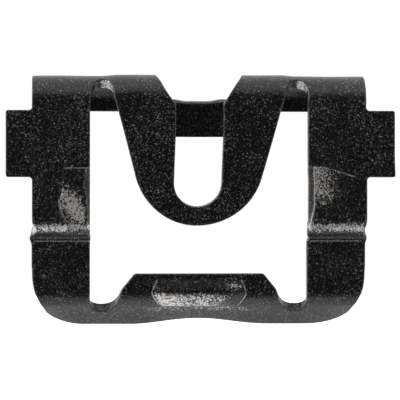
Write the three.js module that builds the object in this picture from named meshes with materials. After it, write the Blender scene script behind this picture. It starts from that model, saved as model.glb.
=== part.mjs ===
// Spring clip that holds a window trim moulding on a weld stud of the car body.
// The real clip is one stamping of spring steel. Here it is parted into the zones of that
// stamping which flex against each other, with a hair gap at each line where it flexes.
// Millimetres. +X is to the right, +Y is away from the body panel and +Z is up.
// The origin is where the stud's head bears on the rear face of the tongue.

import * as THREE from 'three';
import { mergeVertices } from 'three/addons/utils/BufferGeometryUtils.js';

// ---- Driving dimensions ----
// "s" runs along the bent strip, from the front end of the top roll (s = 0) down the panel-side
// face. Above the roll's front end it is negative, over the crest and down the back.

const SHEET = 0.95; // thickness of the spring steel
const FLEX_GAP = 0.1; // gap between two zones at the line where the strip flexes

const ROLL_RADIUS = 2.45; // outer face of the top roll
const ROLL_ANGLE = rad(168);

const COLUMN_OUTER = 15.04; // half widths from the clip's centre line
const COLUMN_INNER = 9.76;
const COLUMN_LENGTH = 10.76; // from the roll to the step

const EAR_OUTER = 17.45;
const EAR_TOP = 0.77;
const EAR_BOTTOM = 6.72;
const EAR_FILLET = 0.26;
const EAR_CORNER = 0.15;

const STEP_ANGLE = rad(62);
const STEP_RADIUS = 1.34; // outer face of the step's upper bend
const STEP_RAMP = 0.386;
const STEP_CORNER = 0.26; // inner face of the step's lower bend

const FRAME_LENGTH = 4.48; // flat of the lower frame, between the step and the bottom bend
const LEAD_RADIUS = 2.0; // outer face of the bottom bend
const LEAD_ANGLE = rad(54);
const LEAD_FLANGE = 2.89; // flat lead-in flange below the bottom bend

const SHOULDER_RADIUS = 5.47; // lower corners of the frame, in the flat blank
const SHOULDER_ANGLE = rad(22);
const SHOULDER_RISE = 1.31; // how far above the bottom bend the shoulder starts
const HEEL_RADIUS = 4.26;
const HEEL_ANGLE = rad(33.5);
const HEEL_CENTRE = 10.2;
const WAVE_HALF = 6.22; // scallop in the middle of the free edge
const WAVE_RISE = 1.08;

const NOTCH_DROP = 0.98; // the notch ends this far into the lead-in flange
const NOTCH_SIDE = 8.01; // where the lip's sloping side meets the notch's floor
const NOTCH_OUTER_FILLET = 0.9;
const NOTCH_INNER_FILLET = 1.3;
const LIP_HALF = 5.62;
const LIP_RISE = 1.4; // above the bottom bend
const LIP_CORNER = 0.36;

const ARCH_TOP = -2.62; // round end of the gap between a column and the tongue
const ARCH_INNER = 7.75;
const ARCH_FILLET = 1.0;
const KEYHOLE_HALF = 3.99; // opening over the crest that the stud's head passes through
const KEYHOLE_FLARE = -2.58; // where the flare from the slot to the opening aims

const TONGUE_TOP = 0.5;
const TONGUE_TOP_HALF = 7.32;
const TONGUE_TILT = rad(5);
const TONGUE_END = 11.16;
const TONGUE_ROUND = 5.78; // radius of the tongue's round end
const TONGUE_TAPER = rad(15.3);
const SLOT_HALF = 2.14; // half the slot's width, and the radius of its round end
const SLOT_CENTRE = 7.31;
const SLOT_FLARE_START = 0.25;
const SEAT_AT = 10.3; // where the stud's head bears, below the slot

const FLANGE_LENGTH = 1.01; // back flange below the roll
const BAR_HALF = 5.4; // the bar hangs from the middle of the back flange
const BAR_LENGTH = 3.4;
const BAR_FILLET = 0.5;

const BEND_STEP = rad(12); // largest facet of a bend
const ARC_STEPS = 10; // facets of an arc in the outline
const FILLET_STEPS = 4;
const WAVE_STEPS = 14;
const ON_LINE = 1e-6; // a point this close to a bend line lies on it

const STEEL = { color: 0x1b1a19, roughness: 0.5, metalness: 0.75 };

function rad(degrees) {
  return THREE.MathUtils.degToRad(degrees);
}

// ---- The bent strip ----

// Moves a frame along the strip. It heads straight down at angle 0 and away from the panel at 90.
function advance(frame, length, turn) {
  const angle = frame.angle + turn;
  const chord = turn === 0 ? length : (2 * length * Math.sin(turn / 2)) / turn;
  const along = frame.angle + turn / 2;
  return {
    s: frame.s + length,
    angle,
    y: frame.y + chord * Math.sin(along),
    z: frame.z - chord * Math.cos(along),
  };
}

// A strip is a list of legs, each with a length and the angle that it turns through.
function makeStrip(start, legs) {
  const frames = [start];
  for (const leg of legs) {
    frames.push(advance(frames.at(-1), leg.length, leg.turn));
  }

  function at(s) {
    const last = frames.findLastIndex((frame) => frame.s <= s);
    const index = THREE.MathUtils.clamp(last, 0, legs.length - 1);
    const length = s - frames[index].s;
    return advance(frames[index], length, (legs[index].turn * length) / legs[index].length);
  }

  const bendLines = [];
  legs.forEach((leg, index) => {
    const facets = Math.ceil(Math.abs(leg.turn) / BEND_STEP);
    for (let facet = 0; facet <= facets && facets > 0; facet++) {
      bendLines.push(frames[index].s + (leg.length * facet) / facets);
    }
  });
  return { at, bendLines };
}

const rollLength = ROLL_RADIUS * ROLL_ANGLE;
const leadStart =
  COLUMN_LENGTH + (STEP_RADIUS + STEP_CORNER) * STEP_ANGLE + STEP_RAMP + FRAME_LENGTH;
const freeEdge = leadStart + LEAD_RADIUS * LEAD_ANGLE + LEAD_FLANGE;
const frameTop = leadStart - FRAME_LENGTH;

// The back strip starts at the bar's lower end and rises into the roll, so its s is negative. The
// front strip goes on from the roll's front end, down to the free edge.
const backStrip = makeStrip({ s: -rollLength - BAR_LENGTH, angle: -ROLL_ANGLE, y: 0, z: 0 }, [
  { length: BAR_LENGTH, turn: 0 },
  { length: rollLength, turn: ROLL_ANGLE },
]);
const rollFront = backStrip.at(0);
const frontStrip = makeStrip({ s: 0, angle: 0, y: rollFront.y, z: rollFront.z }, [
  { length: COLUMN_LENGTH, turn: 0 },
  { length: STEP_RADIUS * STEP_ANGLE, turn: STEP_ANGLE },
  { length: STEP_RAMP, turn: 0 },
  { length: STEP_CORNER * STEP_ANGLE, turn: -STEP_ANGLE },
  { length: FRAME_LENGTH, turn: 0 },
  { length: LEAD_RADIUS * LEAD_ANGLE, turn: LEAD_ANGLE },
  { length: LEAD_FLANGE, turn: 0 },
]);
const bodyStrip = {
  at: (s) => (s < 0 ? backStrip.at(s) : frontStrip.at(s)),
  bendLines: [...backStrip.bendLines, ...frontStrip.bendLines],
};
const tongueStrip = makeStrip(bodyStrip.at(TONGUE_TOP), [
  { length: ROLL_RADIUS * TONGUE_TILT, turn: TONGUE_TILT },
  { length: TONGUE_END - TONGUE_TOP, turn: 0 },
]);

// Where a point of the flat blank ends up: x across, s along, and depth into the sheet.
function bend(strip, x, s, depth) {
  const frame = strip.at(s);
  return new THREE.Vector3(
    x,
    frame.y + depth * Math.cos(frame.angle),
    frame.z + depth * Math.sin(frame.angle),
  );
}

const seat = bend(tongueStrip, 0, SEAT_AT, SHEET);

// ---- Flat outlines ----

// Corners are [x, s, radius]; the corners with a radius become arcs.
function roundCorners(corners) {
  const points = [];
  corners.forEach(([x, s, radius = 0], index) => {
    const corner = new THREE.Vector2(x, s);
    if (radius === 0) {
      points.push(corner);
      return;
    }
    const back = new THREE.Vector2(...corners[index - 1]).sub(corner).normalize();
    const ahead = new THREE.Vector2(...corners[index + 1]).sub(corner).normalize();
    const half = Math.acos(back.dot(ahead)) / 2;
    const centre = back.clone().add(ahead).normalize();
    centre.multiplyScalar(radius / Math.sin(half)).add(corner);
    const first = back.multiplyScalar(radius / Math.tan(half)).add(corner).sub(centre);
    const last = ahead.multiplyScalar(radius / Math.tan(half)).add(corner).sub(centre);
    const sweep = Math.sign(first.cross(last)) * (Math.PI - 2 * half);
    for (let step = 0; step <= FILLET_STEPS; step++) {
      const turned = first.clone().rotateAround(new THREE.Vector2(), (sweep * step) / FILLET_STEPS);
      points.push(turned.add(centre));
    }
  });
  return points;
}

function arc(x, s, radius, from, to) {
  return new THREE.ArcCurve(x, s, radius, from, to, false).getPoints(ARC_STEPS);
}

function flip(points) {
  return points.map((point) => new THREE.Vector2(-point.x, point.y)).reverse();
}

// The keyhole's side: from the slot, flaring out over the crest to the back flange.
function keyholeSide() {
  const crest = new THREE.Vector2(KEYHOLE_HALF, (-ROLL_RADIUS * Math.PI) / 2);
  const flare = new THREE.QuadraticBezierCurve(
    new THREE.Vector2(SLOT_HALF, SLOT_FLARE_START),
    new THREE.Vector2(KEYHOLE_HALF, KEYHOLE_FLARE),
    crest,
  );
  return flare.getPoints(ARC_STEPS);
}

function columnOutline() {
  const back = -rollLength;
  const outside = [
    [KEYHOLE_HALF, back],
    [COLUMN_OUTER, back],
    [COLUMN_OUTER, EAR_TOP, EAR_FILLET],
    [EAR_OUTER, EAR_TOP, EAR_CORNER],
    [EAR_OUTER, EAR_BOTTOM, EAR_CORNER],
    [COLUMN_OUTER, EAR_BOTTOM, EAR_FILLET],
    [COLUMN_OUTER, frameTop],
    [COLUMN_INNER, frameTop],
    [COLUMN_INNER, ARCH_TOP, ARCH_FILLET],
    [ARCH_INNER, ARCH_TOP, ARCH_FILLET],
    [TONGUE_TOP_HALF, TONGUE_TOP],
    [SLOT_HALF, TONGUE_TOP],
  ];
  return [...roundCorners(outside), ...keyholeSide()];
}

function tongueOutline() {
  const top = TONGUE_TOP + FLEX_GAP;
  const roundCentre = TONGUE_END - TONGUE_ROUND;
  const outer = [
    new THREE.Vector2(TONGUE_TOP_HALF, top),
    ...arc(0, roundCentre, TONGUE_ROUND, TONGUE_TAPER, Math.PI - TONGUE_TAPER),
    new THREE.Vector2(-TONGUE_TOP_HALF, top),
  ];
  const slot = [
    new THREE.Vector2(-SLOT_HALF, top),
    ...arc(0, SLOT_CENTRE, SLOT_HALF, 0, Math.PI).reverse(),
    new THREE.Vector2(SLOT_HALF, top),
  ];
  return [...outer, ...slot];
}

function bridgeOutline() {
  const top = -rollLength - FLEX_GAP;
  const flangeEnd = -rollLength - FLANGE_LENGTH;
  const barEnd = -rollLength - BAR_LENGTH;
  const half = roundCorners([
    [COLUMN_OUTER, top],
    [COLUMN_OUTER, flangeEnd],
    [BAR_HALF, flangeEnd, BAR_FILLET],
    [BAR_HALF, barEnd, BAR_FILLET],
    [0, barEnd],
  ]);
  half.pop();
  return [...half, ...flip(half)];
}

// The middle of the free edge rises in a cosine scallop.
function waveEdge() {
  const points = [];
  for (let step = 0; step <= WAVE_STEPS; step++) {
    const x = WAVE_HALF - (2 * WAVE_HALF * step) / WAVE_STEPS;
    const rise = (WAVE_RISE * (1 + Math.cos((Math.PI * x) / WAVE_HALF))) / 2;
    points.push(new THREE.Vector2(x, freeEdge - rise));
  }
  return points;
}

function frameOutline() {
  const top = frameTop + FLEX_GAP;
  const notchFloor = freeEdge - LEAD_FLANGE + NOTCH_DROP;
  const shoulder = [COLUMN_OUTER - SHOULDER_RADIUS, leadStart - SHOULDER_RISE];
  const outer = [
    new THREE.Vector2(COLUMN_OUTER, top),
    ...arc(...shoulder, SHOULDER_RADIUS, 0, SHOULDER_ANGLE),
    ...arc(HEEL_CENTRE, freeEdge - HEEL_RADIUS, HEEL_RADIUS, HEEL_ANGLE, Math.PI / 2),
  ];
  const inner = roundCorners([
    [-COLUMN_INNER, top],
    [-COLUMN_INNER, notchFloor, NOTCH_OUTER_FILLET],
    [-NOTCH_SIDE, notchFloor, NOTCH_INNER_FILLET],
    [-LIP_HALF, leadStart - LIP_RISE, LIP_CORNER],
    [0, leadStart - LIP_RISE],
  ]);
  inner.pop();
  return [...outer, ...waveEdge(), ...flip(outer), ...inner, ...flip(inner)];
}

// ---- Solids ----

// Parts a closed outline along one bend line. The crossings of the line pair up from left to
// right, and each pair is an edge that a piece above and a piece below share.
function splitOutline(outline, line) {
  if (outline.some((point) => Math.abs(point.y - line) < ON_LINE)) {
    return [outline];
  }
  const ring = [];
  const crossings = [];
  outline.forEach((point, index) => {
    const next = outline[(index + 1) % outline.length];
    ring.push(point);
    if ((point.y - line) * (next.y - line) < 0) {
      const crossing = point.clone().lerp(next, (line - point.y) / (next.y - point.y));
      crossing.y = line;
      ring.push(crossing);
      crossings.push(crossing);
    }
  });
  if (crossings.length === 0) {
    return [outline];
  }
  const partner = new Map();
  crossings.sort((one, other) => one.x - other.x);
  crossings.forEach((crossing, index) => partner.set(crossing, crossings[index ^ 1]));

  const pieces = [];
  const left = new Set(crossings);
  for (const first of crossings) {
    const piece = [];
    for (let start = first; left.delete(start); start = partner.get(piece.at(-1))) {
      let index = ring.indexOf(start);
      do {
        piece.push(ring[index]);
        index = (index + 1) % ring.length;
      } while (!partner.has(ring[index]));
      piece.push(ring[index]);
    }
    if (piece.length > 0) pieces.push(piece);
  }
  return pieces;
}

// Triangulates one flat piece, with every triangle turning the same way.
function flatTriangles(piece) {
  return THREE.ShapeUtils.triangulateShape(piece, []).map((face) => {
    const corners = face.map((index) => piece[index]);
    return THREE.ShapeUtils.area(corners) > 0 ? corners : corners.reverse();
  });
}

// The sheet over one outline, bent: both faces of each piece, and a wall along each outer edge.
function bentPlate(name, outline, strip) {
  const pieces = strip.bendLines.reduce(
    (parts, line) => parts.flatMap((part) => splitOutline(part, line)),
    [THREE.ShapeUtils.area(outline) > 0 ? outline : [...outline].reverse()],
  );
  const corners = [];
  const put = (point, depth) => corners.push(bend(strip, point.x, point.y, depth).sub(seat));

  function edges(piece) {
    return piece.map((point, index) => [point, piece[(index + 1) % piece.length]]);
  }

  function isShared([from, to]) {
    return pieces.some((piece) => edges(piece).some(([start, end]) => start === to && end === from));
  }

  for (const piece of pieces) {
    for (const [a, b, c] of flatTriangles(piece)) {
      [a, b, c].forEach((point) => put(point, SHEET));
      [c, b, a].forEach((point) => put(point, 0));
    }
    for (const [from, to] of edges(piece).filter((edge) => !isShared(edge))) {
      [from, to].forEach((point) => put(point, 0));
      put(to, SHEET);
      put(from, 0);
      [to, from].forEach((point) => put(point, SHEET));
    }
  }
  const geometry = mergeVertices(new THREE.BufferGeometry().setFromPoints(corners), ON_LINE);
  geometry.computeVertexNormals();
  const mesh = new THREE.Mesh(geometry, new THREE.MeshStandardMaterial(STEEL));
  mesh.name = name;
  return mesh;
}

const clip = new THREE.Group();
clip.name = 'moulding_clip';
clip.add(bentPlate('right_column', columnOutline(), bodyStrip));
clip.add(bentPlate('left_column', flip(columnOutline()), bodyStrip));
clip.add(bentPlate('stud_tongue', tongueOutline(), tongueStrip));
clip.add(bentPlate('back_bridge', bridgeOutline(), bodyStrip));
clip.add(bentPlate('lower_frame', frameOutline(), bodyStrip));

export default clip;
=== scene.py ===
"""A stamped spring clip for a window trim moulding, built as one bent sheet of black-coated steel.

The sheet is meshed flat, as the blank that the press cuts: x runs across it and s along it, from
the front end of the top roll (s = 0) down the panel side, and upwards over the roll with s below 0.
The blank is then bent along its profile. Lengths are millimetres until the mesh is made.
"""

import math

import bpy
import numpy as np
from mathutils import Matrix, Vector
from mathutils.geometry import delaunay_2d_cdt


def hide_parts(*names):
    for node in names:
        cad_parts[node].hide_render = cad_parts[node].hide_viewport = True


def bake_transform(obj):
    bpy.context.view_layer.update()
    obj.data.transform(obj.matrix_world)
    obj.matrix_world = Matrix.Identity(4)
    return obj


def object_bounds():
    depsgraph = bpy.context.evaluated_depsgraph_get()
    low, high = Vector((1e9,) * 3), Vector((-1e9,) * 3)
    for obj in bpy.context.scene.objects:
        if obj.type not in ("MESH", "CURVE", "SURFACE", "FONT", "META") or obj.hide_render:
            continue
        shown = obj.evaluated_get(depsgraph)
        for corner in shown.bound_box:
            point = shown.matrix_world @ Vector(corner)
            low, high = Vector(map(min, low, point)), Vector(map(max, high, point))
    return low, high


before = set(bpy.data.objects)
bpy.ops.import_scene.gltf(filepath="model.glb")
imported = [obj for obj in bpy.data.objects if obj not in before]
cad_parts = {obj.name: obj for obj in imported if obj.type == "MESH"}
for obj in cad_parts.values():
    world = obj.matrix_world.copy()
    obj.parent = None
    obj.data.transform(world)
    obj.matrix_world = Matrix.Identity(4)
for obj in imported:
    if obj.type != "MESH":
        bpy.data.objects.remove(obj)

cad_low, cad_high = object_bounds()
MM = 0.001

# ---- Dimensions of the sheet, in millimetres ----

SHEET = 0.95
EDGE_ROUND = 0.14
EDGE_SUPPORT = 0.18

CREST_Z = cad_high.z / MM
FRONT_Y = cad_low.y / MM
ROLL_RADIUS = 2.45
ROLL_ANGLE = math.radians(168)
ROLL_LENGTH = ROLL_RADIUS * ROLL_ANGLE

EAR_OUTER = cad_high.x / MM
EAR_TOP = 0.75
EAR_BOTTOM = 6.76
COLUMN_OUTER = 15.04
COLUMN_INNER = 9.76
COLUMN_LENGTH = 10.76

STEP_ANGLE = math.radians(62)
STEP_RADIUS = 1.34
STEP_RAMP = 0.242
STEP_CORNER = 0.5
FRAME_LENGTH = 4.336
LEAD_RADIUS = 2.0
LEAD_ANGLE = math.radians(54)
LEAD_FLANGE = 2.97

BAR_HALF = 5.4
BAR_LENGTH = 3.42
BACK_FLANGE = 1.08

TONGUE_TILT = math.radians(5)
TONGUE_BEND = 1.2
TONGUE_END = 11.18
TONGUE_ROUND = 5.9
TONGUE_TAPER = 15.3
SLOT_HALF = 2.14
SLOT_CENTRE = 7.31
KEYHOLE_HALF = 3.99

STEP_START = COLUMN_LENGTH
STEP_END = STEP_START + (STEP_RADIUS + STEP_CORNER) * STEP_ANGLE + STEP_RAMP
LEAD_START = STEP_END + FRAME_LENGTH
LEAD_END = LEAD_START + LEAD_RADIUS * LEAD_ANGLE
FREE_EDGE = LEAD_END + LEAD_FLANGE
BAR_END = -ROLL_LENGTH - BAR_LENGTH

# ---- How finely it is meshed ----

PITCH = 0.21
FINE_PITCH = 0.1
ROW_TURN = math.radians(4.5)
SMALLEST_ROW = 0.045
PROFILE_STEP = 0.01
PROFILE_SOFTNESS = 0.16
CLEAR_OF_RIM = 0.07
WIDEST_RIM_STEP = 0.17
POINTS_AT_A_TIME = 1000


# ---- The bent profile ----


def make_strip(first_s, first_heading, legs):
    """Samples the path of the sheet's outer face. Heading 0 is straight down and 90 degrees is
    away from the panel. A leg is its length and the angle that it turns through."""
    lengths, turns = np.array(legs).T
    ends = np.concatenate([[0], np.cumsum(lengths)])
    headings = first_heading + np.concatenate([[0], np.cumsum(turns)])
    along = np.arange(0, ends[-1] + PROFILE_STEP, PROFILE_STEP)
    heading = np.interp(along, ends, headings)
    window = np.hanning(int(PROFILE_SOFTNESS / PROFILE_STEP) | 1)
    padding = len(window) // 2
    padded = np.pad(heading, padding, mode="edge")
    heading = np.convolve(padded, window / window.sum(), mode="valid")
    middle = (heading[1:] + heading[:-1]) / 2
    y = np.concatenate([[0], np.cumsum(np.sin(middle))]) * PROFILE_STEP
    z = -np.concatenate([[0], np.cumsum(np.cos(middle))]) * PROFILE_STEP
    return {"s": first_s + along, "y": y, "z": z, "heading": heading}


def at(strip, s, key):
    return np.interp(s, strip["s"], strip[key])


def shift(strip, y, z):
    strip["y"] = strip["y"] + y
    strip["z"] = strip["z"] + z


body_strip = make_strip(BAR_END, -ROLL_ANGLE, [
    (BAR_LENGTH, 0),
    (ROLL_LENGTH, ROLL_ANGLE),
    (COLUMN_LENGTH, 0),
    (STEP_RADIUS * STEP_ANGLE, STEP_ANGLE),
    (STEP_RAMP, 0),
    (STEP_CORNER * STEP_ANGLE, -STEP_ANGLE),
    (FRAME_LENGTH, 0),
    (LEAD_RADIUS * LEAD_ANGLE, LEAD_ANGLE),
    (LEAD_FLANGE, 0),
])
shift(body_strip, FRONT_Y - at(body_strip, COLUMN_LENGTH / 2, "y"), CREST_Z - body_strip["z"].max())

tongue_strip = make_strip(0, 0, [(TONGUE_BEND, TONGUE_TILT), (TONGUE_END - TONGUE_BEND, 0)])
shift(tongue_strip, at(body_strip, 0, "y"), at(body_strip, 0, "z"))


def row_step(s):
    """How far apart rows may lie at s, so that a bend is round."""
    reach = 0.05
    turn = abs(at(body_strip, s + reach, "heading") - at(body_strip, s - reach, "heading"))
    curvature = max(turn / (2 * reach), 1e-6)
    return float(np.clip(ROW_TURN / curvature, SMALLEST_ROW, PITCH))


# ---- The outline of the blank ----


def arc(x, s, radius, start, end, steps=24):
    angles = np.radians(np.linspace(start, end, steps + 1))
    return np.stack([x + radius * np.cos(angles), s + radius * np.sin(angles)], axis=1)


def rounded(corners):
    """A chain of points from corners (x, s, radius), where a radius of 0 stays sharp."""
    chain = []
    for index, (x, s, radius) in enumerate(corners):
        corner = np.array([x, s])
        if radius == 0:
            chain.append([corner])
            continue
        back = np.array(corners[index - 1][:2]) - corner
        ahead = np.array(corners[index + 1][:2]) - corner
        back, ahead = back / np.linalg.norm(back), ahead / np.linalg.norm(ahead)
        half = math.acos(back @ ahead) / 2
        centre = corner + (back + ahead) / np.linalg.norm(back + ahead) * radius / math.sin(half)
        first = corner + back * radius / math.tan(half) - centre
        last = corner + ahead * radius / math.tan(half) - centre
        sweep = math.pi - 2 * half
        steps = np.linspace(0, 1, 2 + int(math.degrees(sweep) / 9))[:, None]
        fan = np.sin((1 - steps) * sweep) * first + np.sin(steps * sweep) * last
        chain.append(centre + fan / math.sin(sweep))
    return np.concatenate(chain)


def outer_half():
    """The right half of the outside, from the bar's lower edge up, over the roll and down."""
    bar_bow = 0.12
    bar = [(0, BAR_END - bar_bow, 0), (1.6, BAR_END - bar_bow / 2, 0)]
    corners = [
        *bar,
        (BAR_HALF, BAR_END, 0.5),
        (BAR_HALF, -ROLL_LENGTH - BACK_FLANGE, 0.5),
        (COLUMN_OUTER, -ROLL_LENGTH - BACK_FLANGE, 0.3),
        (COLUMN_OUTER, EAR_TOP, 0.3),
        (EAR_OUTER, EAR_TOP, 0.23),
        (EAR_OUTER, EAR_BOTTOM, 0.23),
        (COLUMN_OUTER, EAR_BOTTOM, 0.3),
        (COLUMN_OUTER, STEP_END, 0),
    ]
    shoulder_radius, shoulder_rise = 5.47, 1.31
    shoulder_centre = (COLUMN_OUTER - shoulder_radius, LEAD_START - shoulder_rise)
    shoulder = arc(*shoulder_centre, shoulder_radius, 0, 22)
    heel_radius = 4.26
    heel = arc(10.2, FREE_EDGE - heel_radius, heel_radius, 33.5, 90)
    wave_half, wave_rise = 6.22, 0.94
    wave_x = np.linspace(wave_half, 0, 36)
    wave_s = FREE_EDGE - wave_rise * (1 + np.cos(math.pi * wave_x / wave_half)) / 2
    return np.concatenate([rounded(corners), shoulder, heel, np.stack([wave_x, wave_s], axis=1)])


def window_half():
    """The right half of the big window, from the tongue's tip up, round and down to the lip."""
    lip_top = LEAD_START - 1.4
    notch_floor = LEAD_END + 0.78
    arch_half, arch_rise = 1.005, 1.7
    arch_centre = [COLUMN_INNER - arch_half, -0.72]
    arch = arc(0, 0, 1, 180, 360, 24) * [arch_half, arch_rise] + arch_centre
    tip = arc(0, TONGUE_END - TONGUE_ROUND, TONGUE_ROUND, 90, TONGUE_TAPER, 40)
    corners = [
        (*tip[-1], 0),
        (7.4, 0.5, 1.5),
        (*arch[0], 0),
        *((x, s, 0) for x, s in arch[1:]),
        (COLUMN_INNER, notch_floor, 0.9),
        (7.8, notch_floor, 1.3),
        (6.98, LEAD_START, 0.9),
        (5.82, lip_top, 0.36),
        (0, lip_top, 0),
    ]
    return np.concatenate([tip[:-1], rounded(corners)])


def slot_half():
    """The right half of the slot and of the keyhole that it opens into, from the slot's bottom."""
    bottom = arc(0, SLOT_CENTRE, SLOT_HALF, 90, 0, 30)
    turn = np.linspace(0, math.pi / 2, 30)
    throat = 0.24
    rise = throat + ROLL_RADIUS * np.sin(turn)
    spread = (KEYHOLE_HALF - SLOT_HALF) / (throat + ROLL_RADIUS)
    side = np.stack([SLOT_HALF + spread * rise, -ROLL_RADIUS * turn], axis=1)
    back_sag = 0.19
    corners = [
        (*side[-1], 0),
        (KEYHOLE_HALF, -ROLL_LENGTH, 0.9),
        (2.1, -ROLL_LENGTH - 0.02, 2.0),
        (1.1, -ROLL_LENGTH - back_sag, 1.5),
        (0, -ROLL_LENGTH - back_sag, 0),
    ]
    throat_bend = rounded([(*bottom[-1], 0), (SLOT_HALF, throat, 0.9), (*side[0], 0)])
    return np.concatenate([bottom[:-1], throat_bend, side[1:-1], rounded(corners)])


def closed(half):
    """A loop from its right half, whose first and last points lie on the centre line."""
    mirrored = half[-2:0:-1] * [-1, 1]
    return np.concatenate([half, mirrored])


def area(loop):
    x, s = loop.T
    return float(np.sum(x * np.roll(s, -1) - np.roll(x, -1) * s)) / 2


def subdivided(loop):
    """Adds points until none are further apart than the bends allow."""
    same_place = 1e-6
    shortest = 0.02
    look_ahead = 0.05
    points = []
    for here, ahead in zip(loop, np.roll(loop, -1, axis=0)):
        length = np.linalg.norm(ahead - here)
        if length < same_place:
            continue
        travelled = 0.0
        while length - travelled > shortest:
            point = here + (ahead - here) * travelled / length
            points.append(point)
            step = min(row_step(point[1]), row_step(point[1] + look_ahead), WIDEST_RIM_STEP)
            left = length - travelled
            travelled += step if left > 1.5 * step else left
    return np.array(points)


def outline_loops():
    """The outside and the two holes, each turned so that the sheet lies on its left."""
    loops = [closed(outer_half()), closed(window_half()), closed(slot_half())]
    signs = [1, -1, -1]
    turned = [loop if area(loop) * sign > 0 else loop[::-1] for loop, sign in zip(loops, signs)]
    return [subdivided(loop) for loop in turned]


def inward(loop):
    """The direction at each point that leads into the sheet, long enough to keep edges parallel."""
    ahead = np.roll(loop, -1, axis=0) - loop
    ahead /= np.linalg.norm(ahead, axis=1, keepdims=True)
    left = np.stack([-ahead[:, 1], ahead[:, 0]], axis=1)
    mean = left + np.roll(left, 1, axis=0)
    mean /= np.linalg.norm(mean, axis=1, keepdims=True)
    return mean / np.clip(np.sum(mean * left, axis=1, keepdims=True), 0.5, 1)


# ---- The flat mesh ----


def inside(points, loops):
    """Whether each point lies in the sheet, by counting the edges to its right."""
    start = np.concatenate(loops)
    end = np.concatenate([np.roll(loop, -1, axis=0) for loop in loops])
    found = np.zeros(len(points), bool)
    for first in range(0, len(points), POINTS_AT_A_TIME):
        some = slice(first, first + POINTS_AT_A_TIME)
        x, s = points[some, :1], points[some, 1:]
        spans = (start[:, 1] > s) != (end[:, 1] > s)
        rise = np.where(end[:, 1] == start[:, 1], 1, end[:, 1] - start[:, 1])
        crossing = start[:, 0] + (s - start[:, 1]) / rise * (end[:, 0] - start[:, 0])
        found[some] = np.sum(spans & (crossing > x), axis=1) % 2 == 1
    return found


def distance_to(points, others):
    """How far each point is from the nearest of the others."""
    nearest = np.zeros(len(points))
    for first in range(0, len(points), POINTS_AT_A_TIME):
        some = slice(first, first + POINTS_AT_A_TIME)
        gap = points[some, None] - others[None]
        nearest[some] = np.sqrt((gap ** 2).sum(axis=2).min(axis=1))
    return nearest


# Opposite corners (x, s) of the places that are meshed finely: both press marks and the nib.
FINE_BOXES = [
    ((-13.4, 5.5), (-9.7, 12.6)),
    ((9.7, 5.5), (14.6, 12.6)),
    ((-4.8, 16.0), (4.8, 19.6)),
]


def in_box(points, box):
    low, high = np.array(box)
    return np.all((points > low) & (points < high), axis=1)


def grid(x_from, x_to, s_from, s_to, pitch):
    """Staggered rows of points, closer together where the sheet bends."""
    rows, s = [], s_from
    while s < s_to:
        shift_x = pitch / 2 * (len(rows) % 2)
        x = np.arange(x_from + shift_x, x_to, pitch)
        rows.append(np.stack([x, np.full(len(x), s)], axis=1))
        s += min(row_step(s), pitch * 0.87)
    return np.concatenate(rows)


def interior_points(rings):
    """The points of the mesh that lie within the rings along the cut edges."""
    coarse = grid(-EAR_OUTER, EAR_OUTER, BAR_END, FREE_EDGE, PITCH)
    for box in FINE_BOXES:
        coarse = coarse[~in_box(coarse, box)]
    parts = [coarse]
    for (x_from, s_from), (x_to, s_to) in FINE_BOXES:
        parts.append(grid(x_from, x_to, s_from, s_to, FINE_PITCH))
    points = np.concatenate(parts)
    points = points[inside(points, rings)]
    return points[distance_to(points, np.concatenate(rings)) > CLEAR_OF_RIM]


def rim_profile():
    """Inset and depth of the rings that carry the sheet's edge from one face to the other."""
    turn = np.radians(np.linspace(0, 90, 5))
    fillet = np.stack([EDGE_ROUND * (1 - np.sin(turn)), EDGE_ROUND * (1 - np.cos(turn))], axis=1)
    front = np.concatenate([[[EDGE_SUPPORT, 0]], fillet, [[0, SHEET * 0.36]]])
    return np.concatenate([front, front[::-1] * [1, -1] + [0, SHEET]])


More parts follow.
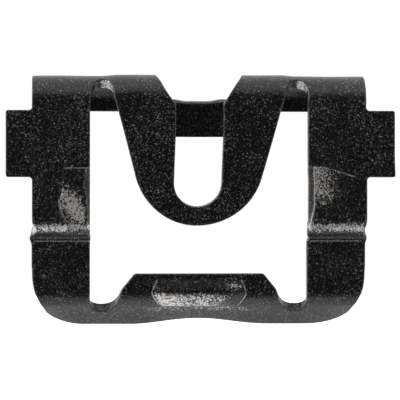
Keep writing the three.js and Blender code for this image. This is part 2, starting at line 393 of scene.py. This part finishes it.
def flat_mesh():
    """Blank coordinates (x, s, depth), faces, the mirror vertex of each vertex on the other face of
    the sheet, and each vertex's distance from the cut edge."""
    loops = outline_loops()
    profile = rim_profile()
    rings = [loop + inward(loop) * profile[0, 0] for loop in loops]
    inner = interior_points(rings)

    flat = np.concatenate(rings + [inner])
    edges, start = [], 0
    for ring in rings:
        index = np.arange(len(ring)) + start
        edges += np.stack([index, np.roll(index, -1)], axis=1).tolist()
        start += len(ring)
    result = delaunay_2d_cdt([Vector(point) for point in flat], edges, [], 0, 1e-7, True)
    source = np.array([origins[0] for origins in result[3]])
    triangles = source[np.array(result[2])]
    centres = flat[triangles].mean(axis=1)
    triangles = triangles[inside(centres, rings)]
    a, b, c = flat[triangles].transpose(1, 0, 2)
    twice = (b[:, 0] - a[:, 0]) * (c[:, 1] - a[:, 1]) - (b[:, 1] - a[:, 1]) * (c[:, 0] - a[:, 0])
    triangles[twice < 0] = triangles[twice < 0][:, ::-1]

    count, rim = len(flat), start
    blank = [np.column_stack([flat, np.full(count, depth)]) for depth in (0, SHEET)]
    edge_gap = np.tile(distance_to(flat, np.concatenate(loops)), 2)
    gaps = [edge_gap]
    levels = [np.arange(rim)]
    top = 2 * count
    samples = np.concatenate(loops)
    directions = np.concatenate([inward(loop) for loop in loops])
    for inset, depth in profile[1:-1]:
        ring = samples + directions * inset
        blank.append(np.column_stack([ring, np.full(rim, depth)]))
        gaps.append(np.full(rim, inset))
        levels.append(np.arange(rim) + top)
        top += rim
    levels.append(np.arange(rim) + count)

    following = np.concatenate([
        np.roll(np.arange(len(loop)), -1) + offset
        for loop, offset in zip(loops, np.cumsum([0] + [len(loop) for loop in loops[:-1]]))
    ])
    faces = triangles[:, ::-1].tolist() + (triangles + count).tolist()
    for level, deeper in zip(levels, levels[1:]):
        quads = np.stack([level, level[following], deeper[following], deeper], axis=1)
        faces += quads.tolist()
    mirror = np.arange(top)
    for level, other in zip(levels, levels[::-1]):
        mirror[level] = other
    inner_front = np.arange(rim, count)
    mirror[inner_front] = inner_front + count
    mirror[inner_front + count] = inner_front
    return np.concatenate(blank), faces, mirror, np.concatenate(gaps)


# ---- What the press leaves on the sheet ----


def ramp(value, start, end):
    """A smooth 0 to 1 as value goes from start to end, whichever is larger."""
    t = np.clip((value - start) / (end - start), 0, 1)
    return t * t * (3 - 2 * t)


def ridge(value, centre, width):
    return np.exp(-(((value - centre) / width) ** 2))


NIB_TOP, NIB_RIDGE, NIB_BOTTOM = 16.45, 17.62, 19.15
NIB_HALF = 4.27
NIB_HEIGHT = 0.36
NIB_SLOPE = 1.25
TONGUE_REGION_HALF = 8.3
TONGUE_REGION_END = 12.5


def nib_sides(s):
    """How far the catch nib reaches to each side: furthest at its ridge."""
    above = np.clip((NIB_RIDGE - s) / (NIB_RIDGE - NIB_TOP), 0, 1)
    below = np.clip((s - NIB_RIDGE) / (NIB_BOTTOM - NIB_RIDGE), 0, 1)
    return NIB_HALF - 0.47 * above - 0.85 * below ** 1.3


def nib_height(x, s):
    """The hipped nib in the middle of the lip that the moulding's flange snaps over."""
    upper = (s - NIB_TOP) / (NIB_RIDGE - NIB_TOP)
    lower = (NIB_BOTTOM - s) / (NIB_BOTTOM - NIB_RIDGE)
    ends = (nib_sides(s) - abs(x)) / NIB_SLOPE
    softness = 0.09
    planes = np.stack([upper, lower, ends, np.ones_like(x)])
    lowest = planes.min(axis=0)
    blended = lowest - softness * np.log(np.exp(-(planes - lowest) / softness).sum(axis=0))
    return NIB_HEIGHT * np.clip(blended + softness * np.log(2), 0, 1)


def left_mark_side(s):
    """x of the outer side of the press mark at the foot of the left column."""
    return -12.3 - 0.32 * ridge(s, 9.15, 0.9) + 0.25 * ramp(s, 9.9, 10.6)


def right_mark_top(x):
    """s of the slanting top edge of the press mark at the foot of the right column."""
    return 5.82 + 0.26 * np.clip(x - 11.0, 0, 3.2) + 0.08 * np.clip(x - 12.2, 0, 2)


def left_mark(x, s):
    """1 inside the left press mark."""
    side = left_mark_side(s)
    return ramp(x, side - 0.04, side + 0.12) * ramp(s, 5.86, 6.0) * (x < 0)


def right_mark(x, s):
    """1 inside the right press mark."""
    top = right_mark_top(x)
    return ramp(s, top - 0.05, top + 0.12) * ramp(x, 14.4, 13.3) * (x > 0)


def left_bevel_width(s):
    return 0.26 + 0.3 * ridge(s, 7.4, 1.1)


def right_bevel_width(s):
    return 0.5 - 0.34 * ramp(s, 9.2, 11.2)


def inner_bevel(x, s):
    """The strip along the window that the forming punch pushes back, above the step."""
    width = np.where(x < 0, left_bevel_width(s), right_bevel_width(s))
    reach = np.clip(1 - (abs(x) - COLUMN_INNER) / width, 0, 1)
    return reach * ramp(s, 5.75, 6.1) * ramp(s, 12.4, 11.4)


def lift(x, s):
    """How far the press has pushed the sheet away from the panel, below 0 towards the panel."""
    fade = ramp(s, 12.5, 10.9)
    left = left_mark(x, s) * 0.3 * (0.25 + 0.75 * ramp(s, 6.5, 11.2)) * fade
    depth_right = 0.1 + 0.16 * ramp(s, 6.0, 9.4) * ramp(x, 13.2, 10.6)
    right = right_mark(x, s) * depth_right * fade
    bevel = 0.24 * inner_bevel(x, s) * (s > 4)
    on_columns = np.where(abs(x) > COLUMN_INNER - 0.3, left + right + bevel, 0)
    wave = 0.012 * np.sin(0.9 * x + 0.4) * np.sin(0.7 * s + 1.1)
    crown = 0.1 * ramp(abs(x), 9.0, 7.2) * ramp(s, 0.1, -1.6) * ramp(s, -6.8, -4.6)
    return on_columns - nib_height(x, s) - crown + wave


def sideways(x, s, depth):
    """How the bends draw the sheet's edges in on their outer face and swell them on the inner."""
    front = np.clip(1 - depth / SHEET, 0, 1)
    outer = np.exp(-(abs(abs(x) - COLUMN_OUTER)) / 0.5)
    inner = np.exp(-(abs(abs(x) - COLUMN_INNER)) / 0.35)
    convex, concave = 11.6, 12.75
    drawn = np.where(x < 0, 0.46, 0.16) * ridge(s, convex, 0.55) * front ** 1.5
    swollen = np.where(x < 0, 0.24, 0.17) * ridge(s, concave, 0.32) * front
    pull = (swollen - drawn) * outer - 0.6 * (0.4 * swollen - drawn * 0.3) * inner
    pull *= (s > 9) & (s < 14)
    nick = 0.27 * np.exp(-abs(x - COLUMN_INNER) / 0.2) * ridge(s, 12.78, 0.14)
    return np.sign(x) * pull + nick


def uneven(x, s):
    """How far this clip strays sideways from an even one, as its press tools weren't square."""
    ears = 0.07 * ramp(x, -15.3, -16.5) + 0.19 * ramp(x, 15.3, 16.5)
    column_right = 0.09 * ramp(s, 5.0, 7.5) * ramp(s, 11.8, 10.8) * ramp(x, 8.6, 9.7)
    column_left = -0.08 * ramp(x, -8.6, -9.7) * ramp(x, -12.5, -10.5) * ramp(s, -0.5, 0.5)
    lower = 0.05 * np.sign(x) * ramp(abs(x), 13.0, 14.8) * ramp(s, 12.2, 13.2) * ramp(s, 16.0, 15.0)
    lean = -(0.05 + 0.16 * ridge(x, 0, 3.2)) * ramp(s, 2.0, 8.2)
    lean *= (abs(x) < TONGUE_REGION_HALF) & (s < TONGUE_REGION_END)
    throat_right = -0.14 * ridge(x, 3.3, 1.2) * ramp(s, 0.9, 0.0) * (x > 0)
    throat_left = 0.14 * ridge(x, -3.9, 1.2) * ramp(s, -0.9, -2.2) * (x < 0)
    return ears + column_right + column_left + lower + lean + throat_right + throat_left


def bar_bevel(x, s, depth):
    """The rolled-over top edge of the bar behind the slot, deepest in the middle."""
    half = 2.6
    reach = 0.46 * np.clip(1 - (x / half) ** 2, 0, 1) + 0.02
    near = np.clip(1 - (-ROLL_LENGTH - 0.08 - s) / reach, 0, 1)
    return 0.3 * near ** 2 * (depth / SHEET) * (abs(x) < half) * (s < -ROLL_LENGTH + 0.1)


def on_tongue(x, s):
    return (abs(x) < TONGUE_REGION_HALF) & (s > 0) & (s < TONGUE_REGION_END)


def bend(blank):
    """Row coordinates, in millimetres, of points of the blank."""
    x, s, depth = blank.T
    tongue = on_tongue(x, s)
    y, z, heading = (
        np.where(tongue, at(tongue_strip, s, key), at(body_strip, s, key))
        for key in ("y", "z", "heading")
    )
    depth = depth + lift(x, s) - bar_bevel(x, s, depth)
    across = x + sideways(x, s, depth) + uneven(x, s)
    return np.stack([across, y + depth * np.cos(heading), z + depth * np.sin(heading)], axis=1)


# ---- Where the coating is scuffed, and where highlights are painted ----


def wear_and_highlight_mask(blank):
    """0 for sound coating to 1 for bright steel colour: steel where the coating is scuffed, and
    painted highlights on the step, press marks, nib and cut walls.
    """
    x, s, depth = blank.T
    front = depth < SHEET / 2
    column = abs(x) > COLUMN_INNER - 0.2
    # Bright band across the step: scuffed steel from the forming die, and a painted highlight where
    # the step's convex bend turns down.
    step = 0.95 * ridge(s, 11.35, 0.42) * column * ramp(abs(x), 15.3, 14.6)
    # Press marks: scuffed steel, and painted highlight on their slopes that turn down towards the
    # step: a diagonal band and a glow low on the left mark, and on the right mark a patch that
    # fades outwards and downwards.
    diagonal = (x + 11.3) * 0.75 + (s - 9.3) * -0.66
    left = left_mark(x, s) * ridge(diagonal, 0, 1.0) * ramp(s, 6.2, 9.6) * ramp(x, -10.0, -10.6)
    glow_span = ramp(s, 9.3, 10.8) * ramp(s, 11.6, 11.0)
    left_glow = 0.45 * left_mark(x, s) * glow_span * ramp(x, -9.95, -10.3)
    right = right_mark(x, s) * ramp(x, 12.9, 10.7) * ramp(x, 10.2, 10.35) * ramp(s, 9.9, 8.0)
    # The nib: scuffed steel where it stands out, with a painted highlight that is strongest on its
    # left and fades out to the right; a fainter band below it and a bright patch near its upper
    # right end.
    in_nib = ramp(nib_sides(s) - abs(x), 0.0, 0.35)
    nib_across = (0.7 + 0.3 * ramp(x, -1.0, -2.8)) * ramp(x, 3.4, 0.6)
    nib = in_nib * nib_across * ramp(s, 17.5, 17.9) * ramp(s, 19.25, 18.95)
    below_nib = 0.3 * ramp(s, 19.15, 19.35) * ramp(s, 20.3, 19.4) * ramp(abs(x), 6.0, 3.5)
    nib_patch = ridge(x, 3.15, 0.55) * ridge(s, 17.1, 0.35)
    values = [step, 1.1 * left, left_glow, 0.7 * right, 0.9 * nib, below_nib, 0.8 * nib_patch]
    wall = (depth > EDGE_ROUND / 2) & (depth < SHEET - EDGE_ROUND / 2)
    # Painted highlight on the cut walls at the right-hand side of each arch, which face the light
    # from the left.
    lit_arch_walls = np.where(x < 0, ramp(x, -8.95, -8.6), ramp(x, 8.7, 9.0)) * ramp(s, -0.9, -1.5)
    lit_arch_walls *= wall & (abs(x) > 7.6) & (abs(x) < 9.85) & (s > -2.6) & (s < 0)
    # Painted highlight on the left outer cut wall beside the step, which faces the light from the
    # left.
    side_wall = wall * (x < -14.4) * ramp(s, 10.9, 11.2) * ramp(s, 12.5, 12.1)
    return np.maximum(np.clip(np.max(values, axis=0), 0, 1) * front, lit_arch_walls + side_wall)


def creased(blank):
    """1 on the fine bright lines where the press marks and bends meet the flat sheet: scuffed steel
    along the press marks and the nib, and a painted highlight along the step's lower corner.
    """
    x, s, depth = blank.T
    front = depth < SHEET / 2
    column = abs(x) > COLUMN_INNER - 0.2
    # Painted highlight along the concave corner at the foot of the step.
    corner = 0.75 * ridge(s, STEP_END, 0.06) * column * ramp(abs(x), 14.9, 14.6)
    spine_left = ridge(x, -COLUMN_INNER - left_bevel_width(s), 0.06) * (s > 5.9) * (s < 11)
    spine_right = ridge(x, COLUMN_INNER + right_bevel_width(s), 0.07) * (s > 5.8) * (s < 11.8)
    edge_right = ridge(s, right_mark_top(x), 0.06) * (x > 10.2) * (x < 13.9)
    edge_left = ridge(x, left_mark_side(s), 0.07) * (s > 8.8) * (s < 10.7)
    top_left = 0.6 * ridge(s, 5.93, 0.06) * (x > -12.2) * (x < -9.9)
    nib_ends = ridge(abs(x), nib_sides(s), 0.06) * (s > NIB_TOP) * (s < NIB_BOTTOM - 0.05)
    values = [corner, 0.5 * spine_left, spine_right, 0.6 * edge_right, 0.5 * edge_left, top_left]
    return np.clip(np.max(values + [0.8 * nib_ends], axis=0), 0, 1) * front


# ---- Pieces ----

TONGUE_SEAM = -0.15
BRIDGE_SEAM = -ROLL_LENGTH + 0.35


def face_centres(blank, faces):
    return np.array([blank[face].mean(axis=0) for face in faces])


def vertex_normals(points, faces):
    normals = np.zeros_like(points)
    for size in (3, 4):
        group = np.array([face for face in faces if len(face) == size])
        if len(group) == 0:
            continue
        a, b, c = points[group[:, 0]], points[group[:, 1]], points[group[:, 2]]
        d = points[group[:, -1]]
        face_normals = np.cross(b - a, c - a) if size == 3 else np.cross(c - a, d - b)
        for corner in range(size):
            np.add.at(normals, group[:, corner], face_normals)
    return normals / np.linalg.norm(normals, axis=1, keepdims=True)


def seam_caps(faces, mirror, front_half):
    """Quads that close a piece where it is parted from the next one, across the thickness."""
    seen = {}
    for face in faces:
        for start, end in zip(face, face[1:] + face[:1]):
            seen[(start, end)] = True
    caps = []
    for start, end in seen:
        if (end, start) in seen or not (front_half[start] and front_half[end]):
            continue
        cap = [end, start, int(mirror[start]), int(mirror[end])]
        caps.append(cap)
    return caps


def make_piece(name, chosen, sheet, material):
    """A closed mesh from the chosen faces of the sheet, shaded with the whole sheet's normals."""
    points, faces, mirror, front_half, normals, layers = sheet
    kept = [face for face, wanted in zip(faces, chosen) if wanted]
    caps = seam_caps(kept, mirror, front_half)
    used = np.unique(np.concatenate([np.ravel(face) for face in kept]))
    new_index = np.full(len(points), -1)
    new_index[used] = np.arange(len(used))
    mesh = bpy.data.meshes.new(name)
    corners = [new_index[face].tolist() for face in kept + caps]
    mesh.from_pydata((points[used] * MM).tolist(), [], corners)
    mesh.update()
    for layer, values in layers.items():
        kind = "FLOAT_VECTOR" if values.ndim == 2 else "FLOAT"
        stored = mesh.attributes.new(layer, kind, "POINT")
        field = "vector" if values.ndim == 2 else "value"
        stored.data.foreach_set(field, values[used].astype(np.float32).ravel())
    mesh.polygons.foreach_set("use_smooth", [True] * len(kept) + [False] * len(caps))
    loop_normals = normals[np.concatenate([np.ravel(face) for face in kept])].tolist()
    for cap in mesh.polygons[len(kept):]:
        loop_normals += [tuple(cap.normal)] * cap.loop_total
    mesh.normals_split_custom_set(loop_normals)
    mesh.materials.append(material)
    piece = bpy.data.objects.new(name, mesh)
    bpy.context.scene.collection.objects.link(piece)
    return piece


def build_sheet():
    """The blank and its faces, and the bent sheet with what each vertex's coating is like, and
    where highlights and shade are painted on it.
    """
    blank, faces, mirror, edge_gap = flat_mesh()
    points = bend(blank)
    normals = vertex_normals(points, faces)
    depth = blank[:, 2]
    front_half = depth < SHEET / 2
    edge_width = 0.06
    layers = {
        "rest": points,
        "rub_and_highlight": wear_and_highlight_mask(blank),
        "crease": creased(blank),
        "edge": np.exp(-edge_gap / edge_width) * front_half,
        # Painted shade: fewer flecks on the inner face of the roll and the bar, which lie in
        # shadow.
        "painted_inner_shade": ramp(blank[:, 1], -1.0, -2.0) * ramp(depth, SHEET * 0.5, SHEET * 0.9),
    }
    sheet = (points, faces, mirror, front_half, normals, layers)
    return blank, faces, sheet


# ---- Material ----


def node(tree, kind, **settings):
    made = tree.nodes.new(kind)
    for key, value in settings.items():
        setattr(made, key, value)
    return made


def attribute(tree, name, output="Fac"):
    return node(tree, "ShaderNodeAttribute", attribute_name=name).outputs[output]


def noise(tree, place, scale, detail, roughness=0.5, distortion=0.0):
    made = node(tree, "ShaderNodeTexNoise")
    tree.links.new(place, made.inputs["Vector"])
    made.inputs["Scale"].default_value = scale
    made.inputs["Detail"].default_value = detail
    made.inputs["Roughness"].default_value = roughness
    made.inputs["Distortion"].default_value = distortion
    return made.outputs["Fac"]


def math_node(tree, operation, first, second=0.0, clamp=False):
    made = node(tree, "ShaderNodeMath", operation=operation, use_clamp=clamp)
    for socket, value in zip(made.inputs, (first, second)):
        if isinstance(value, (int, float)):
            socket.default_value = value
        else:
            tree.links.new(value, socket)
    return made.outputs[0]


def remap(tree, value, from_low, from_high, to_low=0.0, to_high=1.0):
    made = node(tree, "ShaderNodeMapRange", interpolation_type="SMOOTHSTEP")
    tree.links.new(value, made.inputs["Value"])
    made.inputs["From Min"].default_value = from_low
    made.inputs["From Max"].default_value = from_high
    made.inputs["To Min"].default_value = to_low
    made.inputs["To Max"].default_value = to_high
    return made.outputs["Result"]


def mix_colour(tree, amount, first, second):
    made = node(tree, "ShaderNodeMix", data_type="RGBA")
    tree.links.new(amount, made.inputs["Factor"])
    for socket, value in ((made.inputs[6], first), (made.inputs[7], second)):
        if isinstance(value, tuple):
            socket.default_value = value
        else:
            tree.links.new(value, socket)
    return made.outputs[2]


def coated_steel():
    """Black phosphate coating whose fine crystal flecks are painted lighter into its colour, as
    grain and as painted glints; it turns to steel colour where it is scuffed and where highlights
    are painted, and painted shade thins its flecks inside the roll and the bar.
    """
    material = bpy.data.materials.new("black_coated_steel")
    material.use_nodes = True
    tree = material.node_tree
    shader = tree.nodes["Principled BSDF"]
    place = attribute(tree, "rest", "Vector")

    crystals = noise(tree, place, 7.4, 1.5, 0.5)
    fine = noise(tree, place, 6.6, 2.0, 0.55, 0.8)
    drift = noise(tree, place, 0.4, 2.0, 0.5)
    patchy = remap(tree, drift, 0.35, 0.65, -0.035, 0.035)
    fleck = remap(tree, math_node(tree, "ADD", crystals, patchy), 0.63, 0.745)
    # Painted shade: flecks are thinned out inside the roll and the bar.
    inner_shade = math_node(tree, "MULTIPLY", attribute(tree, "painted_inner_shade"), 0.75)
    fleck = math_node(tree, "MULTIPLY", fleck, math_node(tree, "SUBTRACT", 1.0, inner_shade))

    # This layer turns the coating to steel colour where it is scuffed and where highlights are
    # painted on it.
    rub_and_highlight = attribute(tree, "rub_and_highlight")
    grain = remap(tree, fine, 0.3, 0.7)
    scuff_and_highlight = math_node(tree, "ADD", grain, math_node(tree, "MULTIPLY", rub_and_highlight, 0.78))
    scuffed_and_highlit = remap(tree, scuff_and_highlight, 0.84, 1.28)
    # Crease lines: scuffed steel, with a painted highlight at the step's lower corner.
    line = math_node(tree, "ADD", attribute(tree, "crease"), math_node(tree, "SUBTRACT", fine, 0.5))
    line = remap(tree, line, 0.25, 0.75, 0.0, 0.8)
    broken = remap(tree, fine, 0.45, 0.7, 0.0, 0.25)
    edge = math_node(tree, "MULTIPLY", attribute(tree, "edge"), broken)
    steel_and_highlight = math_node(tree, "MAXIMUM", math_node(tree, "MAXIMUM", scuffed_and_highlit, line), edge)

    coat = (0.0028, 0.0027, 0.0028, 1)
    # Crystal flecks: the coating's lighter grain, and also painted glints.
    crystal = (0.22, 0.21, 0.204, 1)
    # Steel colour, for scuffed coating and for painted highlights.
    steel = (0.72, 0.68, 0.66, 1)
    colour = mix_colour(tree, steel_and_highlight, mix_colour(tree, fleck, coat, crystal), steel)
    tree.links.new(colour, shader.inputs["Base Color"])
    tree.links.new(math_node(tree, "MULTIPLY", steel_and_highlight, 0.68), shader.inputs["Metallic"])
    rough = remap(tree, crystals, 0.3, 0.7, 0.27, 0.36)
    rough = math_node(tree, "ADD", rough, math_node(tree, "MULTIPLY", steel_and_highlight, 0.12))
    tree.links.new(rough, shader.inputs["Roughness"])
    shader.inputs["IOR"].default_value = 1.5

    bump = node(tree, "ShaderNodeBump")
    bump.inputs["Strength"].default_value = 0.35
    bump.inputs["Distance"].default_value = 0.02 * MM
    tree.links.new(crystals, bump.inputs["Height"])
    tree.links.new(bump.outputs["Normal"], shader.inputs["Normal"])
    return material


def plain_material(name, colour, glow):
    material = bpy.data.materials.new(name)
    material.use_nodes = True
    shader = material.node_tree.nodes["Principled BSDF"]
    shader.inputs["Base Color"].default_value = colour
    shader.inputs["Roughness"].default_value = 0.9
    shader.inputs["Emission Color"].default_value = (1, 1, 1, 1)
    shader.inputs["Emission Strength"].default_value = glow
    return material


# ---- Studio ----


def add_disc(name, centre, normal, radius, material):
    """A flat round piece of the studio, facing along normal."""
    turn = Vector(normal).to_track_quat("Z", "Y")
    angles = np.linspace(0, 2 * math.pi, 65)[:-1]
    rim = [
        Vector(centre) + turn @ Vector((radius * math.cos(angle), radius * math.sin(angle), 0))
        for angle in angles
    ]
    mesh = bpy.data.meshes.new(name)
    mesh.from_pydata(rim, [], [range(len(rim))])
    mesh.materials.append(material)
    disc = bpy.data.objects.new(name, mesh)
    bpy.context.scene.collection.objects.link(disc)
    return disc


def make_floor():
    """A pale disc that ends just in front of the clip, so that its lower faces don't mirror it."""
    radius = 0.036
    gap = 0.00005
    material = plain_material("pale_floor", (0.8, 0.8, 0.8, 1), 0.8)
    add_disc("floor", (0, 0.034, cad_low.z - gap), (0, 0, 1), radius, material)


def make_flag():
    """A black flag behind the camera, so that the flat faces mirror something dark."""
    radius = 0.24
    material = plain_material("black_flag", (0.012, 0.012, 0.012, 1), 0)
    flag = add_disc("flag", (0.02, -0.25, -0.03), (0, 1, 0), radius, material)
    flag.visible_camera = False


def make_world():
    """White surroundings, brighter overhead."""
    world = bpy.data.worlds.new("studio")
    bpy.context.scene.world = world
    world.use_nodes = True
    tree = world.node_tree
    background = tree.nodes["Background"]
    direction = node(tree, "ShaderNodeTexCoord").outputs["Generated"]
    split = node(tree, "ShaderNodeSeparateXYZ")
    tree.links.new(direction, split.inputs[0])
    overhead = remap(tree, split.outputs["Z"], 0.45, 0.95, 1.06, 1.2)
    background.inputs["Color"].default_value = (1.0, 0.99, 0.975, 1)
    tree.links.new(overhead, background.inputs["Strength"])


def add_softbox(name, place, target, size, power):
    data = bpy.data.lights.new(name, "AREA")
    data.shape = "DISK"
    data.size = size
    data.energy = power
    lamp = bpy.data.objects.new(name, data)
    lamp.location = place
    lamp.rotation_euler = (Vector(target) - Vector(place)).to_track_quat("-Z", "Y").to_euler()
    lamp.visible_camera = False
    bpy.context.scene.collection.objects.link(lamp)


def make_camera():
    distance = 0.196
    azimuth = math.radians(-3.5)
    height = 0.00138
    target = Vector((0.0, FRONT_Y * MM, height))
    seen_width = 0.03587
    data = bpy.data.cameras.new("camera")
    data.sensor_width = 36
    data.lens = data.sensor_width * distance / seen_width
    data.clip_start = 0.005
    data.clip_end = 20
    camera = bpy.data.objects.new("camera", data)
    offset = Vector((math.sin(azimuth), -math.cos(azimuth), 0)) * distance
    camera.location = target + offset
    camera.rotation_euler = (-offset).to_track_quat("-Z", "Y").to_euler()
    bpy.context.scene.collection.objects.link(camera)
    bpy.context.scene.camera = camera


# ---- Assembly ----


def build_clip():
    blank, faces, sheet = build_sheet()
    steel = coated_steel()
    x, s, _ = face_centres(blank, faces).T
    is_tongue = (abs(x) < TONGUE_REGION_HALF) & (s > TONGUE_SEAM) & (s < TONGUE_REGION_END)
    is_bridge = s < BRIDGE_SEAM

    columns = make_piece("clip_columns_and_frame", ~is_tongue & ~is_bridge, sheet, steel)
    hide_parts("left_column", "right_column", "lower_frame")
    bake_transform(columns)

    tongue = make_piece("clip_tongue", is_tongue, sheet, steel)
    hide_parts("stud_tongue")
    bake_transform(tongue)

    bridge = make_piece("clip_back_bridge", is_bridge, sheet, steel)
    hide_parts("back_bridge")
    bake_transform(bridge)


bpy.context.scene.view_settings.view_transform = "Standard"
make_camera()
make_world()
add_softbox("left_softbox", place=(-0.5, -0.12, 0.25), target=(0, 0, 0), size=0.3, power=1.2)
make_floor()
make_flag()
build_clip()

bpy.context.view_layer.update()
